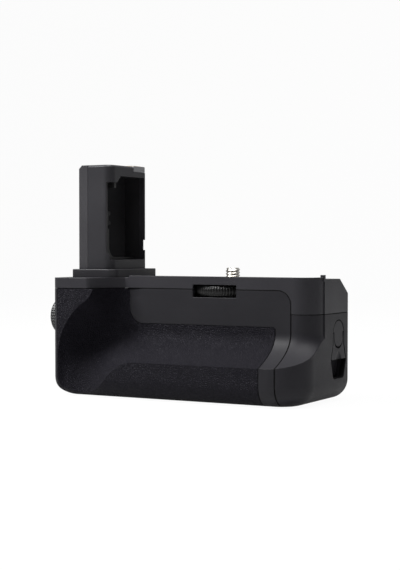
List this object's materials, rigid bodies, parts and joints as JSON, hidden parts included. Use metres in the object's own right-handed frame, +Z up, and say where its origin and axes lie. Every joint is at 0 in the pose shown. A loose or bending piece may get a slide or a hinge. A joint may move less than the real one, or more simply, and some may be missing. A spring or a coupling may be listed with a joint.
{
  "type": "camera battery grip",
  "caption": "vertical battery grip for a camera, with a tall battery-room tower, a knurled attachment wheel and screw, a sculpted rubber grip and a slide-out battery tray",
  "frame": {"origin": "on the base plane, straight below the attachment screw's axis", "axes": "+X along the grip to the tray's end, +Y to the back, +Z up along the attachment screw"},
  "size_m": [0.1244, 0.0555, 0.1043],
  "materials": {
    "shell": "fine matte",
    "grip": "leather grain",
    "lock": "satin",
    "dial": "satin ribbed",
    "button": "semi-gloss",
    "inner_plastic": "smooth",
    "catch": "smooth",
    "pale_plastic": "smooth",
    "gold_contact": "plated",
    "screw_steel": "nickel plated",
    "steel": "satin",
    "board": "lacquered",
    "chip": "moulded",
    "ribbon": "film",
    "mat": "silicone"
  },
  "bodies": {
    "grip": {"front_cover": "shell", "rear_cover": "shell", "top_cover": "shell", "grip_rubber": "grip", "thumb_rubber": "grip", "tower_base": "shell", "tower_shell": "shell", "tower_cover": "shell", "tower_flex": "ribbon", "pocket_frame": "inner_plastic", "door_hook": "steel", "contact_block": "pale_plastic", "contact_plates": "gold_contact", "deck_bush": "screw_steel", "lower_bush": "steel", "chassis_plate": "steel", "tripod_socket": "steel", "battery_chamber": "inner_plastic", "chamber_pins": "gold_contact", "main_board": "board", "board_chips": "chip", "switch_board": "board", "dial_bracket": "steel", "button_mat": "mat", "button_board": "board", "case_screws": "steel"},
    "screw": {"attachment_screw": "screw_steel", "attachment_wheel": "dial", "thrust_washer": "screw_steel"},
    "tray": {"tray_frame": "inner_plastic", "tray_contacts": "gold_contact", "tray_cap": "shell", "tray_screws": "steel", "lock_bush": "steel", "lock_disc": "lock", "lock_cam": "steel", "hinge_pin": "steel"},
    "lock_key": {"lock_lever": "lock"},
    "catch_1": {"cell_catch_1": "catch"},
    "catch_2": {"cell_catch_2": "catch"},
    "front_dial": {"front_dial": "dial", "front_dial_shaft": "steel"},
    "rear_dial": {"rear_dial": "dial", "rear_dial_shaft": "steel"},
    "shutter": {"shutter_button": "button"},
    "power": {"power_ring": "dial"},
    "focus_lever": {"focus_lever": "dial"},
    "focus_button": {"focus_button": "button"},
    "custom_button": {"custom_button": "button"}
  },
  "joints": [
    {"name": "screw_turn", "type": "hinge", "parent": "grip", "child": "screw", "pos_m": [0, 0, 0.0475], "axis": [0, 0, 1], "continuous": true},
    {"name": "tray_slide", "type": "slide", "parent": "grip", "child": "tray", "axis": [1, 0, 0], "range_m": [0, 0.095]},
    {"name": "key_flip", "type": "hinge", "parent": "tray", "child": "lock_key", "pos_m": [0.04715, 0.0069, 0.0292], "axis": [0, -1, 0], "range_deg": [0, 90]},
    {"name": "catch_1_slide", "type": "slide", "parent": "tray", "child": "catch_1", "axis": [1, 0, 0], "range_m": [0, 0.004]},
    {"name": "catch_2_slide", "type": "slide", "parent": "tray", "child": "catch_2", "axis": [1, 0, 0], "range_m": [0, 0.004]},
    {"name": "front_dial_turn", "type": "hinge", "parent": "grip", "child": "front_dial", "pos_m": [-0.074, -0.0242, 0.0353], "axis": [1, 0, 0], "continuous": true},
    {"name": "rear_dial_turn", "type": "hinge", "parent": "grip", "child": "rear_dial", "pos_m": [-0.0688, 0.0136, 0.0396], "axis": [1, 0, 0], "continuous": true},
    {"name": "shutter_press", "type": "slide", "parent": "grip", "child": "shutter", "axis": [1, 0, 0], "range_m": [0, 0.001], "stiffness_N_per_m": 900},
    {"name": "power_turn", "type": "hinge", "parent": "grip", "child": "power", "pos_m": [-0.0744, 0.0009, 0.033], "axis": [1, 0, 0], "range_deg": [0, 35]},
    {"name": "focus_lever_turn", "type": "hinge", "parent": "grip", "child": "focus_lever", "pos_m": [-0.05, 0.0198, 0.0427], "axis": [0, 1, 0], "range_deg": [0, 40]},
    {"name": "focus_press", "type": "slide", "parent": "grip", "child": "focus_button", "axis": [0, -1, 0], "range_m": [0, 0.0006], "stiffness_N_per_m": 900},
    {"name": "custom_press", "type": "slide", "parent": "grip", "child": "custom_button", "axis": [0, -1, 0], "range_m": [0, 0.0006], "stiffness_N_per_m": 900}
  ]
}
